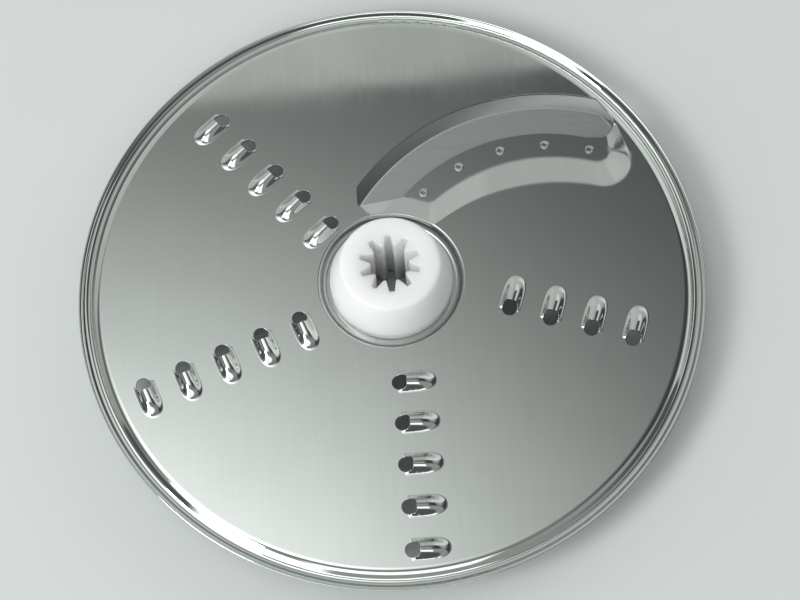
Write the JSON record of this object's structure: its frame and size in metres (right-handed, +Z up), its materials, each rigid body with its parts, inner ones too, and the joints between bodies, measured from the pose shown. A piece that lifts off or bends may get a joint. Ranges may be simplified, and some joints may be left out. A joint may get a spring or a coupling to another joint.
{
  "type": "food processor disc",
  "caption": "Round pressed steel food processor disc with raised grating teeth, a slicing blade under an arc-shaped opening, and a plastic hub with a grooved drive socket.",
  "frame": {"origin": "on the drive axis at the hub's lower face, on which the disc stands", "axes": "+Z up the drive axis, towards the grating face; -Y along the middle one of the five-tooth rows"},
  "size_m": [0.174, 0.174, 0.0253],
  "materials": {
    "plate_steel": "satin stainless sheet, brighter on the pressed forms",
    "blade_steel": "flat ground stainless",
    "hub_plastic": "satin white moulded plastic"
  },
  "bodies": {
    "root": {"disc_plate": "plate_steel", "slicing_blade": "blade_steel", "drive_hub": "hub_plastic"}
  },
  "joints": []
}
